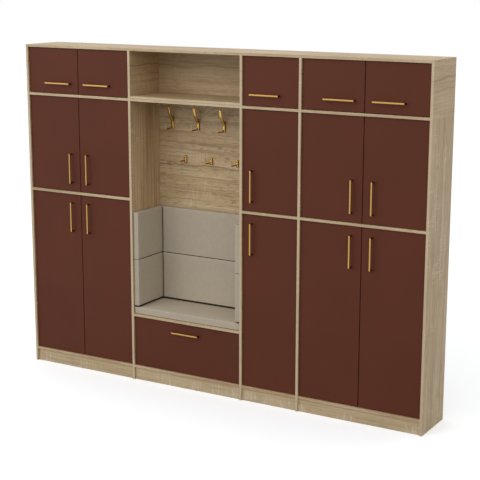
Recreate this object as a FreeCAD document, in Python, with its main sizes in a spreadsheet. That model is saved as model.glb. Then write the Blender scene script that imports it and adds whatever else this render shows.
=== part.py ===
import FreeCAD, Part
import os
from math import atan2, pi, sin, tan
import Sketcher
from FreeCAD import Rotation, Vector

# Wardrobe wall unit: three bays of inset doors, and a niche with a bench, cushions, hooks and a drawer.
# Millimetres, X along the wall from left to right, Y from the room to the wall, Z up.
# The origin is on the floor, at the middle of the overall box, handles included.

doc = FreeCAD.newDocument("wardrobe_wall_unit")

# Driving dimensions
sizes = [
    ("board", 16, "thickness of the laminated boards"),
    ("wide_opening", 812, "clear width of the bays with two doors and of the niche"),
    ("narrow_opening", 388, "clear width of the bay with one door"),
    ("carcass_depth", 340, "from the front edges to the back of the hardboard"),
    ("hardboard", 3, "thickness of the back panels and the drawer bottom"),
    ("hardboard_inset", 2, "back panels short of the outer edges"),
    ("hook_board", 8, "thickness of the board behind the niche, flush with the back panels"),
    ("plinth_height", 84, "floor to the underside of the bottom boards"),
    ("plinth_recess", 12, "plinth boards behind the front edges"),
    ("bottom_tier", 1117, "clear height of the bottom tier"),
    ("middle_tier", 633, "clear height of the middle tier"),
    ("top_tier", 302, "clear height of the top tier"),
    ("drawer_opening", 340, "clear height of the drawer bay"),
    ("shelf_rise", 580, "bottom board to the underside of an inner shelf"),
    ("shelf_setback", 40, "inner shelves behind the front edges"),
    ("front_gap", 3, "gap round doors and the drawer front"),
    ("meeting_gap", 5, "gap between the two doors of a pair"),
    ("front_recess", 11, "faces of doors and drawer behind the front edges"),
    ("leaf", 16, "thickness of doors and the drawer front"),
    ("leaf_chamfer", 0.6, "broken edge round the face of a door"),
    ("swing_play", 0.6, "turning hinge edge of a door to the partition"),
    ("pin_radius", 3, "pivot pin"),
    ("pin_seat", 7, "depth of a pivot pin in a top or bottom board"),
    ("pin_reach", 12, "depth of a pivot pin in a door"),
    ("pin_play", 0.1, "end of a pivot pin to the bottom of its bore"),
    ("fit", 0.05, "radial clearance of pivot pins"),
    ("handle_length", 200, "length of a bow handle"),
    ("handle_width", 10, "width of a bow handle"),
    ("handle_bar", 8, "thickness of the bar and the feet of a handle"),
    ("handle_projection", 30, "handle from the face of a door"),
    ("handle_round", 1.5, "outer corners of a handle"),
    ("handle_edge", 65, "centre line of an upright handle from the free edge"),
    ("handle_end", 54, "end of an upright handle from the end of the door"),
    ("handle_near", 55, "near end of a level handle from the free edge"),
    ("handle_rise", 67, "level handle above the lower edge of a top door"),
    ("handle_drop", 64, "drawer handle below the upper edge of the drawer front"),
    ("drawer_back_play", 18, "drawer to the back panel"),
    ("runner_height", 45, "fixed runner profile"),
    ("runner_space", 12.7, "partition to drawer side"),
    ("runner_steel", 1.2, "thickness of the runner steel"),
    ("runner_play", 0.4, "moving profile inside the fixed one"),
    ("runner_rise", 95, "axis of the runners above the bottom board"),
    ("drawer_height", 200, "height of the drawer sides"),
    ("drawer_rise", 33, "drawer sides above the bottom board"),
    ("seat_height", 46, "thickness of the seat cushion"),
    ("pad_thickness", 40, "thickness of the back and side cushions"),
    ("pad_height", 312, "height of a back or side cushion"),
    ("pad_gap", 2, "gap between the back and side cushions"),
    ("seat_gap", 10, "seat cushion to the cushions above it"),
    ("pad_setback", 11, "cushions behind the front edges"),
    ("pad_seat", 0.3, "cushions to the boards that carry them"),
    ("pad_side", 2, "ends of cushions to the boards of the niche"),
    ("pad_corner", 4, "cut of a corner of the cushion outline"),
    ("pad_crown", 2, "crown of a cushion face"),
    ("pad_edge", 4, "rounding of a cushion edge"),
    ("pad_slope", 22, "run of the crown from the rounded edge to the flat middle"),
    ("pad_draw", 1, "sides of a cushion drawn in at the seams"),
    ("hook_pitch", 198, "spacing of the hooks in a row"),
    ("hook_plate_width", 20, "width of a hook plate"),
    ("hook_plate_round", 7, "corner radius of a hook plate"),
    ("hook_plate_thickness", 12, "thickness of a hook plate"),
    ("hook_rod", 4, "half the width of a prong"),
    ("hook_prong_up", 38, "height of the turned-up end of a prong"),
    ("hook_bend", 9, "bend radius of a prong"),
    ("hook_drop", 147, "hat shelf to the upper ends of the double hook plates"),
    ("row_drop", 230, "upper ends of the double hook plates to those of the single ones"),
    ("double_plate", 57, "height of a double hook plate"),
    ("double_reach", 90, "prong of a double hook from the board"),
    ("double_rise", 5, "prong of a double hook above the lower end of the plate"),
    ("arm_width", 18, "width of the upper arm of a double hook"),
    ("arm_root", 13, "height of the arm where it leaves the plate"),
    ("arm_corner", 3, "cut of the corners of the arm"),
    ("arm_drop", 6, "middle of the arm's root below the upper end of the plate"),
    ("arm_knee_out", 44, "bend of the arm from the board"),
    ("arm_knee_up", 45, "bend of the arm above the plate"),
    ("arm_tip_out", 57, "tip of the arm from the board"),
    ("arm_tip_up", 93, "tip of the arm above the plate"),
    ("arm_bend", 60, "bend radius of the arm"),
    ("single_plate", 48, "height of a single hook plate"),
    ("single_reach", 82, "prong of a single hook from the board"),
    ("single_rise", 17, "prong of a single hook above the lower end of the plate"),
    ("bracket_leg", 40, "legs of a wall bracket"),
    ("bracket_width", 30, "width of a wall bracket"),
    ("bracket_steel", 3, "thickness of a wall bracket"),
    ("bracket_hole", 3, "radius of the hole for the wall screw"),
    ("bracket_inset", 100, "wall brackets from the side panels"),
]
sheet = doc.addObject("Spreadsheet::Sheet", "dims")
for row, (alias, number, note) in enumerate(sizes, start=1):
    sheet.set(f"A{row}", note)
    sheet.set(f"B{row}", str(number))
    sheet.setAlias(f"B{row}", alias)
doc.recompute()


def value(expression):
    """Number that an expression gives now."""
    return float(sheet.evalExpression(expression))


# Derived levels and places, as expressions on the sheet
total_width = "(5 * dims.board + 3 * dims.wide_opening + dims.narrow_opening)"
total_height = "(dims.plinth_height + 4 * dims.board + dims.bottom_tier + dims.middle_tier + dims.top_tier)"
board_depth = "(dims.carcass_depth - dims.hardboard)"
niche_depth = "(dims.carcass_depth - dims.hook_board)"
left = f"(-{total_width} / 2)"
front = "((dims.handle_projection - dims.front_recess - dims.carcass_depth) / 2)"
leaf_front = f"({front} + dims.front_recess)"
pivot_y = f"({leaf_front} + dims.leaf / 2)"
niche_back = f"({front} + {niche_depth})"
floor_level = "(dims.plinth_height + dims.board)"
bench_level = f"({floor_level} + dims.drawer_opening)"
cushion_level = f"({bench_level} + dims.board)"
top_level = f"({total_height} - dims.board)"
runner_length = f"({board_depth} - dims.front_recess - dims.leaf - dims.drawer_back_play)"
# A door turns about the middle of its thickness, so far in that its corner clears the partition
swing = "(dims.front_gap - dims.swing_play)"
pivot_inset = f"(((dims.leaf / 2) ^ 2 - {swing} ^ 2) / (2 * {swing}))"

bays = {
    "bay1": (f"({left} + dims.board)", "dims.wide_opening"),
    "bay2": (f"({left} + 2 * dims.board + dims.wide_opening)", "dims.wide_opening"),
    "bay3": (f"({left} + 3 * dims.board + 2 * dims.wide_opening)", "dims.narrow_opening"),
    "bay4": (f"(-{left} - dims.board - dims.wide_opening)", "dims.wide_opening"),
}
tiers = {
    "bottom": (floor_level, "dims.bottom_tier"),
    "middle": (f"({floor_level} + dims.bottom_tier + dims.board)", "dims.middle_tier"),
    "top": (f"({top_level} - dims.top_tier)", "dims.top_tier"),
}
# Leaves of each bay with doors: the side that is hinged
leaves = {"bay1": ("left", "right"), "bay3": ("right",), "bay4": ("left", "right")}
nodes = []


def put(thing, x="0", y="0", z="0"):
    """Tie a thing's place to the sheet."""
    for axis, expression in zip("xyz", (x, y, z)):
        thing.setExpression(f"Placement.Base.{axis}", expression)
    return thing


def keep(thing, label):
    """Name a finished sub-part."""
    thing.Label = label
    nodes.append(thing)
    return thing


def box(length, width, height, x, y, z):
    """Board at a place."""
    block = doc.addObject("Part::Box", "board")
    block.setExpression("Length", length)
    block.setExpression("Width", width)
    block.setExpression("Height", height)
    return put(block, x, y, z)


def rod(radius, length, x, y, z, turn=None):
    """Pin, or a hole as a tool, along Z or turned from it."""
    cylinder = doc.addObject("Part::Cylinder", "rod")
    cylinder.setExpression("Radius", radius)
    cylinder.setExpression("Height", length)
    if turn:
        cylinder.Placement.Rotation = turn
    return put(cylinder, x, y, z)


def group(things):
    """Several separate solids as one sub-part."""
    compound = doc.addObject("Part::Compound", "group")
    compound.Links = things
    return compound


def cut(blank, tools):
    """Blank with all the tools taken out."""
    result = doc.addObject("Part::Cut", "drilled")
    result.Base = blank
    result.Tool = group(tools)
    return result


def copy(master, x, y, z, turn=None):
    """Another piece like the master, at a place."""
    link = doc.addObject("App::Link", "copy")
    link.LinkedObject = master
    if turn:
        link.Placement = FreeCAD.Placement(Vector(), turn)
    return put(link, x, y, z)


# Sketching

def new_body(name):
    return doc.addObject("PartDesign::Body", name)


def new_sketch(body, name, role, lift="0"):
    """Sketch on one of the body's own planes, lifted along the plane's normal."""
    sketch = body.newObject("Sketcher::SketchObject", name)
    plane = next(feature for feature in body.Origin.OriginFeatures if feature.Role == role)
    sketch.AttachmentSupport = (plane, [""])
    sketch.MapMode = "FlatFace"
    sketch.setExpression("AttachmentOffset.Base.z", lift)
    return sketch


def bind(sketch, constraint, expression):
    """Add a constraint whose datum follows the sheet."""
    index = sketch.addConstraint(constraint)
    sketch.setExpression(f"Constraints[{index}]", expression)


def tie(sketch, geometry, vertex, x, y):
    """Tie a vertex to the sketch's origin."""
    for axis, line, expression in (("X", -2, x), ("Y", -1, y)):
        if expression == "0":
            sketch.addConstraint(Sketcher.Constraint("PointOnObject", geometry, vertex, line))
        else:
            datum = value(expression)
            bind(sketch, Sketcher.Constraint("Distance" + axis, -1, 1, geometry, vertex, datum), expression)


def spot(x, y):
    return Vector(value(x), value(y), 0)


def polygon(sketch, points):
    """Closed outline of straight lines."""
    count = len(points)
    for index, point in enumerate(points):
        following = points[(index + 1) % count]
        sketch.addGeometry(Part.LineSegment(spot(*point), spot(*following)))
    for index in range(count):
        sketch.addConstraint(Sketcher.Constraint("Coincident", index, 2, (index + 1) % count, 1))
    for index, point in enumerate(points):
        tie(sketch, index, 1, *point)


def circle(sketch, x, y, radius):
    round_line = sketch.addGeometry(Part.Circle(spot(x, y), Vector(0, 0, 1), value(radius)))
    bind(sketch, Sketcher.Constraint("Radius", round_line, value(radius)), radius)
    tie(sketch, round_line, 3, x, y)


def eight_sided(sketch, width, height, corner, middle="0"):
    """Rectangle with its corners cut off, about the origin or a point above it."""
    sides = (f"{width} / 2", f"{width} / 2 - {corner}")
    levels = (f"{height} / 2 - {corner}", f"{height} / 2")
    quarter = list(zip(sides, levels))
    points = []
    for across, up in (("", ""), ("-", ""), ("-", "-"), ("", "-")):
        run = quarter if across == up else quarter[::-1]
        points += [(f"{across}({x})", f"{middle} + {up}({y})") for x, y in run]
    polygon(sketch, points)


def rounded_rectangle(sketch, width, height, radius):
    """Rectangle about the origin with four equal corner arcs."""
    across, up, bend = value(width) / 2, value(height) / 2, value(radius)
    for corner, (side, level) in enumerate(((1, -1), (1, 1), (-1, 1), (-1, -1))):
        centre = Vector(side * (across - bend), level * (up - bend), 0)
        begin = (corner - 1) * pi / 2
        ring = Part.Circle(centre, Vector(0, 0, 1), bend)
        sketch.addGeometry(Part.ArcOfCircle(ring, begin, begin + pi / 2))
    for corner in range(4):
        begin, end = sketch.Geometry[corner].EndPoint, sketch.Geometry[(corner + 1) % 4].StartPoint
        sketch.addGeometry(Part.LineSegment(begin, end))
    for corner in range(4):
        sketch.addConstraint(Sketcher.Constraint("Tangent", corner, 2, corner + 4, 1))
        sketch.addConstraint(Sketcher.Constraint("Tangent", corner + 4, 2, (corner + 1) % 4, 1))
    for side, direction in enumerate(("Vertical", "Horizontal", "Vertical", "Horizontal"), start=4):
        sketch.addConstraint(Sketcher.Constraint(direction, side))
    for corner in (1, 2, 3):
        sketch.addConstraint(Sketcher.Constraint("Equal", 0, corner))
    bind(sketch, Sketcher.Constraint("Radius", 0, bend), radius)
    tie(sketch, 4, 1, f"{width} / 2", f"{radius} - {height} / 2")
    tie(sketch, 6, 1, f"-{width} / 2", f"{height} / 2 - {radius}")


def bent_path(sketch, points, radius):
    """Open path of two straight runs and the arc between them."""
    begin, corner, end = (spot(*point) for point in points)
    first = (begin - corner).normalize()
    second = (end - corner).normalize()
    half = first.getAngle(second) / 2
    bend = value(radius)
    run = bend / tan(half)
    touch = (corner + first * run, corner + second * run)
    centre = corner + (first + second).normalize() * (bend / sin(half))
    angles = [atan2(point.y - centre.y, point.x - centre.x) for point in touch]
    sweep = (angles[1] - angles[0]) % (2 * pi)
    ends = (1, 2) if sweep < pi else (2, 1)
    arc = (angles[0], angles[0] + sweep) if sweep < pi else (angles[1], angles[1] + 2 * pi - sweep)
    sketch.addGeometry(Part.LineSegment(begin, touch[0]))
    sketch.addGeometry(Part.ArcOfCircle(Part.Circle(centre, Vector(0, 0, 1), bend), *arc))
    sketch.addGeometry(Part.LineSegment(touch[1], end))
    sketch.addGeometry(Part.Point(corner), True)
    sketch.addConstraint(Sketcher.Constraint("Tangent", 0, 2, 1, ends[0]))
    sketch.addConstraint(Sketcher.Constraint("Tangent", 1, ends[1], 2, 1))
    for run_line in (0, 2):
        sketch.addConstraint(Sketcher.Constraint("PointOnObject", 3, 1, run_line))
    bind(sketch, Sketcher.Constraint("Radius", 1, bend), radius)
    tie(sketch, 0, 1, *points[0])
    tie(sketch, 3, 1, *points[1])
    tie(sketch, 2, 2, *points[2])


def pad(body, sketch, length):
    feature = body.newObject("PartDesign::Pad", "pad")
    feature.Profile = sketch
    feature.setExpression("Length", length)
    return feature


def pocket(body, sketch, depth, upward=False):
    """Cut along the sketch's normal if upward, otherwise against it, and see that it cuts."""
    doc.recompute()
    before = body.Shape.Volume
    feature = body.newObject("PartDesign::Pocket", "pocket")
    feature.Profile = sketch
    feature.Reversed = upward
    feature.setExpression("Length", depth)
    doc.recompute()
    if body.Shape.Volume >= before:
        raise RuntimeError(f"{body.Name}: a pocket cuts nothing")
    return feature


def edges_where(feature, test):
    """Names of the edges whose middle passes a test."""
    found = []
    for index, edge in enumerate(feature.Shape.Edges, start=1):
        if test(edge.CenterOfMass):
            found.append(f"Edge{index}")
    return found


def dress(body, kind, feature, test, size_name, size):
    """Fillet or chamfer the edges of the last feature that pass a test."""
    doc.recompute()
    dressing = body.newObject(f"PartDesign::{kind}", kind.lower())
    dressing.Base = (feature, edges_where(feature, test))
    dressing.setExpression(size_name, size)
    return dressing


near = 1e-4


# Carcass boards

def leaf_places():
    """Every door leaf: its bay, tier, hinge side, corner and size."""
    for bay, hinge_sides in leaves.items():
        bay_x, bay_width = bays[bay]
        count = len(hinge_sides)
        gaps = f"(2 * dims.front_gap + {count - 1} * dims.meeting_gap)"
        width = f"(({bay_width} - {gaps}) / {count})"
        for tier, (level, clear) in tiers.items():
            for order, hinge in enumerate(hinge_sides):
                x = f"({bay_x} + dims.front_gap + {order} * ({width} + dims.meeting_gap))"
                pivot = pivot_inset if hinge == "left" else f"({width} - {pivot_inset})"
                yield {
                    "name": f"{bay}_{tier}" + (f"_{hinge}" if count > 1 else ""),
                    "bay": bay, "tier": tier, "hinge": hinge,
                    "x": x, "z": f"({level} + dims.front_gap)",
                    "width": width, "height": f"({clear} - 2 * dims.front_gap)", "pivot": pivot,
                }


all_leaves = list(leaf_places())
pivot_lines = {bay: [f"({leaf['x']} + {leaf['pivot']})" for leaf in all_leaves
                     if leaf["bay"] == bay and leaf["tier"] == "top"] for bay in leaves}


def pin_holes(bay, level, depth):
    """Holes upwards from a level, on the pivot axes of a bay."""
    return [rod("dims.pin_radius + dims.fit", depth, x, pivot_y, level) for x in pivot_lines[bay]]


def right_face(bay):
    return f"({bays[bay][0]} + {bays[bay][1]})"


# Side panels and partitions, standing on the floor under the top board
uprights = {
    "side_panel_left": left,
    "partition_left": right_face("bay1"),
    "partition_middle": right_face("bay2"),
    "partition_right": right_face("bay3"),
    "side_panel_right": right_face("bay4"),
}
for label, x in uprights.items():
    keep(box("dims.board", board_depth, top_level, x, front, "0"), label)

top_blank = box(total_width, board_depth, "dims.board", left, front, top_level)
top_holes = [hole for bay in leaves for hole in pin_holes(bay, top_level, "dims.pin_seat + dims.fit")]
keep(cut(top_blank, top_holes), "top_board")

bottoms = []
for bay, (x, width) in bays.items():
    bottom = box(width, board_depth, "dims.board", x, front, "dims.plinth_height")
    if bay in leaves:
        seat = f"({floor_level} - dims.pin_seat - dims.fit)"
        bottom = cut(bottom, pin_holes(bay, seat, "dims.pin_seat + 2 * dims.fit"))
    bottoms.append(bottom)
keep(group(bottoms), "bottom_boards")

plinth_y = f"({front} + dims.plinth_recess)"
plinths = [box(width, "dims.board", "dims.plinth_height", x, plinth_y, "0") for x, width in bays.values()]
keep(group(plinths), "plinth_boards")

tier_shelves = []
for bay in leaves:
    x, width = bays[bay]
    for tier in ("middle", "top"):
        level = f"({tiers[tier][0]} - dims.board)"
        shelf = box(width, board_depth, "dims.board", x, front, level)
        holes = pin_holes(bay, f"({level} - dims.fit)", "dims.board + 2 * dims.fit")
        tier_shelves.append(cut(shelf, holes))
keep(group(tier_shelves), "tier_shelves")

niche_x, niche_width = bays["bay2"]
hat_boards = []
for layer in (-1, 0):
    level = f"({tiers['top'][0]} + {layer} * dims.board)"
    hat_boards.append(box(niche_width, niche_depth, "dims.board", niche_x, front, level))
keep(group(hat_boards), "hat_shelf_boards")
keep(box(niche_width, board_depth, "dims.board", niche_x, front, bench_level), "bench_board")

shelf_level = f"({floor_level} + dims.shelf_rise)"
shelf_front = f"({front} + dims.shelf_setback)"
shelf_depth = f"({board_depth} - dims.shelf_setback)"
inner_shelves = []
for bay in ("bay1", "bay4"):
    x, width = bays[bay]
    inner_shelves.append(box(width, shelf_depth, "dims.board", x, shelf_front, shelf_level))
keep(group(inner_shelves), "inner_shelves")

# Wall brackets under the top board, and the hardboard backs that their screws pass through
bracket = new_body("bracket_master")
bracket_side = new_sketch(bracket, "angle", "YZ_Plane", "-dims.bracket_width / 2")
polygon(bracket_side, [
    ("0", "0"), ("-dims.bracket_leg", "0"), ("-dims.bracket_leg", "-dims.bracket_steel"),
    ("-dims.bracket_steel", "-dims.bracket_steel"), ("-dims.bracket_steel", "-dims.bracket_leg"),
    ("0", "-dims.bracket_leg"),
])
pad(bracket, bracket_side, "dims.bracket_width")
screw_drop = "((dims.bracket_steel + dims.bracket_leg) / 2)"
bracket_hole = new_sketch(bracket, "wall_screw", "XZ_Plane", "dims.bracket_steel + dims.fit")
circle(bracket_hole, "0", f"-{screw_drop}", "dims.bracket_hole")
pocket(bracket, bracket_hole, "dims.bracket_steel + 2 * dims.fit")

bracket_y = f"({front} + {board_depth})"
bracket_places = {
    "bay1": f"({bays['bay1'][0]} + dims.bracket_inset)",
    "bay4": f"({right_face('bay4')} - dims.bracket_inset)",
}
brackets = [copy(bracket, x, bracket_y, top_level) for x in bracket_places.values()]
keep(group(brackets), "wall_brackets")

into_wall = Rotation(Vector(1, 0, 0), -90)
backs = []
for bay, (x, width) in bays.items():
    outer_left = "dims.board - dims.hardboard_inset" if bay == "bay1" else "dims.board / 2"
    outer_right = "dims.board - dims.hardboard_inset" if bay == "bay4" else "dims.board / 2"
    span = f"({width} + {outer_left} + {outer_right} - dims.fit)"
    upper_end = cushion_level if bay == "bay2" else f"({total_height} - dims.hardboard_inset)"
    rise = f"({upper_end} - dims.plinth_height)"
    back = box(span, "dims.hardboard", rise, f"({x} - ({outer_left}))", bracket_y, "dims.plinth_height")
    if bay in bracket_places:
        depth = "dims.hardboard + 2 * dims.fit"
        hole_y = f"({bracket_y} - dims.fit)"
        hole_z = f"({top_level} - {screw_drop})"
        hole = rod("dims.bracket_hole", depth, bracket_places[bay], hole_y, hole_z, into_wall)
        back = cut(back, [hole])
    backs.append(back)
keep(group(backs), "back_panels")

# Hook board behind the niche and the hat compartment
hook_board_rise = f"({top_level} - {cushion_level})"
keep(box(niche_width, "dims.hook_board", hook_board_rise, niche_x, niche_back, cushion_level), "hook_board")


# Coat hooks: a screwed plate with a prong of eight-sided bar and, on the double ones, a flat arm above it


def hook_plate(name, height):
    """Plate in XZ with its lower end at the origin, standing out along -Y."""
    body = new_body(name)
    outline = new_sketch(body, "plate", "XZ_Plane")
    outline.setExpression("AttachmentOffset.Base.y", f"{height} / 2")
    rounded_rectangle(outline, "dims.hook_plate_width", height, "dims.hook_plate_round")
    pad(body, outline, "dims.hook_plate_thickness")
    return body


def bent_bar(body, points, radius, width, height, corner):
    """Eight-sided bar along a bent path in YZ, from inside the plate."""
    path = new_sketch(body, "path", "YZ_Plane")
    bent_path(path, points, radius)
    section = new_sketch(body, "section", "XZ_Plane", f"-({points[0][0]})")
    eight_sided(section, width, height, corner, points[0][1])
    doc.recompute()
    pipe = body.newObject("PartDesign::AdditivePipe", "bar")
    pipe.Profile = section
    pipe.Spine = (path, ["Edge1", "Edge2", "Edge3"])


bar_start = "-dims.hook_plate_thickness / 2"
rod_width = "(2 * dims.hook_rod)"
rod_corner = "(2 - sqrt(2)) * dims.hook_rod"


def prong(body, reach, rise):
    """Prong straight out of the plate, with its end turned up."""
    outer = f"-({reach} - dims.hook_rod)"
    tip = (outer, f"{rise} + dims.hook_prong_up - dims.hook_rod")
    bent_bar(body, ((bar_start, rise), (outer, rise), tip), "dims.hook_bend", rod_width, rod_width, rod_corner)


def arm(body, height):
    """Flat arm that leaves the upper end of the plate, leans out and then rises."""
    root = (bar_start, f"{height} - dims.arm_drop")
    knee = ("-dims.arm_knee_out", f"{height} + dims.arm_knee_up")
    tip = ("-dims.arm_tip_out", f"{height} + dims.arm_tip_up")
    bent_bar(body, (root, knee, tip), "dims.arm_bend", "dims.arm_width", "dims.arm_root", "dims.arm_corner")


double_hook = hook_plate("double_hook_master", "dims.double_plate")
prong(double_hook, "dims.double_reach", "dims.double_rise")
arm(double_hook, "dims.double_plate")
single_hook = hook_plate("single_hook_master", "dims.single_plate")
prong(single_hook, "dims.single_reach", "dims.single_rise")

# Upper and lower row, staggered by half a pitch about the middle of the niche
niche_middle = f"({niche_x} + {niche_width} / 2)"
double_places = [f"({niche_middle} + {step} * dims.hook_pitch)" for step in (-1.5, -0.5, 0.5, 1.5)]
single_places = [f"({niche_middle} + {step} * dims.hook_pitch)" for step in (-1, 0, 1)]
hook_line = f"({tiers['top'][0]} - dims.board - dims.hook_drop)"
double_level = f"({hook_line} - dims.double_plate)"
single_level = f"({hook_line} - dims.row_drop - dims.single_plate)"
keep(group([copy(double_hook, x, niche_back, double_level) for x in double_places]), "double_hooks")
keep(group([copy(single_hook, x, niche_back, single_level) for x in single_places]), "single_hooks")


# Cushions: crowned face, rounded edge, sides drawn in at the two seams
# The middle of a quarter round lies this share of its radius inside its two tangents
half_round = "(1 - sqrt(0.5))"


def cushion(name, width, height, thickness):
    """Cushion about the Z axis, its back on XY and its crowned face up."""
    body = new_body(name)
    rim = f"({thickness} - dims.pad_crown)"
    seam = f"({rim} - dims.pad_edge)"
    shoulder = "dims.pad_draw + dims.pad_edge"
    sections = [
        ("0", "dims.pad_draw"),
        (f"{seam} / 2", "0"),
        (seam, "dims.pad_draw"),
        (f"{rim} - {half_round} * dims.pad_edge", f"dims.pad_draw + {half_round} * dims.pad_edge"),
        (rim, shoulder),
        (f"{thickness} - {half_round} * dims.pad_crown", f"{shoulder} + {half_round} * dims.pad_slope"),
        (thickness, f"{shoulder} + dims.pad_slope"),
    ]
    outlines = []
    for lift, inset in sections:
        outline = new_sketch(body, "outline", "XY_Plane", lift)
        across, along = (f"({size} - 2 * ({inset}))" for size in (width, height))
        eight_sided(outline, across, along, "dims.pad_corner")
        outlines.append(outline)
    doc.recompute()
    loft = body.newObject("PartDesign::AdditiveLoft", "pad_form")
    loft.Profile = outlines[0]
    loft.Sections = [(outline, "") for outline in outlines[1:]]
    loft.Ruled = True
    return body


seat_width = f"({niche_width} - 2 * dims.pad_side)"
seat_depth = f"({niche_depth} - dims.pad_setback - dims.pad_side)"
pad_out = "(dims.pad_seat + dims.pad_thickness)"
back_width = f"({niche_width} - 2 * ({pad_out} + dims.pad_gap))"
seat = cushion("seat_cushion_master", seat_width, seat_depth, "dims.seat_height")
back_pad = cushion("back_cushion_master", back_width, "dims.pad_height", "dims.pad_thickness")
side_pad = cushion("side_cushion_master", seat_depth, "dims.pad_height", "dims.pad_thickness")

pad_middle_y = f"({front} + dims.pad_setback + {seat_depth} / 2)"
seat_level = f"({cushion_level} + dims.pad_seat)"
keep(group([copy(seat, niche_middle, pad_middle_y, seat_level)]), "seat_cushion")
pad_levels = []
for layer in (0.5, 1.5):
    rise = f"dims.seat_height + dims.seat_gap + {layer} * dims.pad_height + {layer - 0.5} * dims.pad_gap"
    pad_levels.append(f"({seat_level} + {rise})")
upright_turn = Rotation(Vector(1, 0, 0), 90)
facing_right = Rotation(Vector(0, 0, 1), 90) * upright_turn
facing_left = Rotation(Vector(0, 0, 1), -90) * upright_turn
pads_left = f"({niche_x} + dims.pad_seat)"
pads_right = f"({right_face('bay2')} - dims.pad_seat)"
pads_back = f"({niche_back} - dims.pad_seat)"
keep(group([copy(back_pad, niche_middle, pads_back, z, upright_turn) for z in pad_levels]), "back_cushions")
left_pads = [copy(side_pad, pads_left, pad_middle_y, z, facing_right) for z in pad_levels]
right_pads = [copy(side_pad, pads_right, pad_middle_y, z, facing_left) for z in pad_levels]
keep(group(left_pads), "side_cushions_left")
keep(group(right_pads), "side_cushions_right")


# Pivot pins: the end of each carries the door above, at the bottom of its bore

pin_out = "(dims.front_gap + dims.pin_reach)"
pins = []
for lines in pivot_lines.values():
    for x in lines:
        pin_spans = [(f"({floor_level} - dims.pin_seat)", f"(dims.pin_seat + {pin_out})")]
        for tier in ("middle", "top"):
            low = f"({tiers[tier][0]} - dims.board - {pin_out})"
            pin_spans.append((low, f"(dims.board + 2 * {pin_out})"))
        pin_spans.append((f"({top_level} - {pin_out})", f"(dims.pin_seat + {pin_out})"))
        for low, length in pin_spans:
            pins.append(rod("dims.pin_radius", length, x, pivot_y, low))
keep(group(pins), "pivot_pins")


# Doors and their bow handles

def leaf_panel(name, width, height, pivot=None):
    """Panel with a broken front edge, its lower left front corner at the origin."""
    body = new_body(name)
    outline = new_sketch(body, "section", "XY_Plane")
    polygon(outline, [("0", "0"), (width, "0"), (width, "dims.leaf"), ("0", "dims.leaf")])
    panel = pad(body, outline, height)
    dress(body, "Chamfer", panel, lambda middle: abs(middle.y) < near, "Size", "dims.leaf_chamfer")
    if pivot:
        for lift, upward in (("0", True), (height, False)):
            bore = new_sketch(body, "pivot_bore", "XY_Plane", lift)
            circle(bore, pivot, "dims.leaf / 2", "dims.pin_radius + dims.fit")
            pocket(body, bore, "dims.pin_reach + dims.pin_play", upward)
    return body


half_handle = "dims.handle_length / 2"
inner_half = f"({half_handle} - dims.handle_bar)"
inner_out = "-(dims.handle_projection - dims.handle_bar)"
handle = new_body("handle_master")
bow = new_sketch(handle, "bow", "XY_Plane", "-dims.handle_width / 2")
polygon(bow, [
    (f"-{half_handle}", "0"), (f"-{half_handle}", "-dims.handle_projection"),
    (half_handle, "-dims.handle_projection"), (half_handle, "0"),
    (inner_half, "0"), (inner_half, inner_out), (f"-{inner_half}", inner_out), (f"-{inner_half}", "0"),
])
bow_pad = pad(handle, bow, "dims.handle_width")
bow_reach = -value("dims.handle_projection")
bow_end = value(half_handle)


def is_outer_corner(middle):
    return abs(middle.y - bow_reach) < near and abs(abs(middle.x) - bow_end) < near


dress(handle, "Fillet", bow_pad, is_outer_corner, "Radius", "dims.handle_round")

bar_upright = Rotation(Vector(0, 1, 0), 90)
for leaf in all_leaves:
    door = leaf_panel("door_" + leaf["name"], leaf["width"], leaf["height"], leaf["pivot"])
    keep(put(door, leaf["x"], leaf_front, leaf["z"]), "door_" + leaf["name"])
    upper_edge = f"({leaf['z']} + {leaf['height']})"
    free_edge = f"({leaf['x']} + {leaf['width']})" if leaf["hinge"] == "left" else leaf["x"]
    inward = "-" if leaf["hinge"] == "left" else "+"
    if leaf["tier"] == "top":
        grip_x, grip_turn = f"({free_edge} {inward} (dims.handle_near + {half_handle}))", None
        grip_z = f"({leaf['z']} + dims.handle_rise)"
    else:
        grip_x, grip_turn = f"({free_edge} {inward} dims.handle_edge)", bar_upright
        if leaf["tier"] == "bottom":
            grip_z = f"({upper_edge} - dims.handle_end - {half_handle})"
        else:
            grip_z = f"({leaf['z']} + dims.handle_end + {half_handle})"
    keep(group([copy(handle, grip_x, leaf_front, grip_z, grip_turn)]), "handle_" + leaf["name"])

# Drawer on two nested runner profiles
drawer_front_z = f"({floor_level} + dims.front_gap)"
drawer_front_width = f"({niche_width} - 2 * dims.front_gap)"
drawer_front_height = "(dims.drawer_opening - 2 * dims.front_gap)"
drawer_front = leaf_panel("drawer_front", drawer_front_width, drawer_front_height)
keep(put(drawer_front, f"({niche_x} + dims.front_gap)", leaf_front, drawer_front_z), "drawer_front")
drawer_handle_z = f"({drawer_front_z} + {drawer_front_height} - dims.handle_drop)"
keep(group([copy(handle, niche_middle, leaf_front, drawer_handle_z)]), "drawer_handle")

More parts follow.
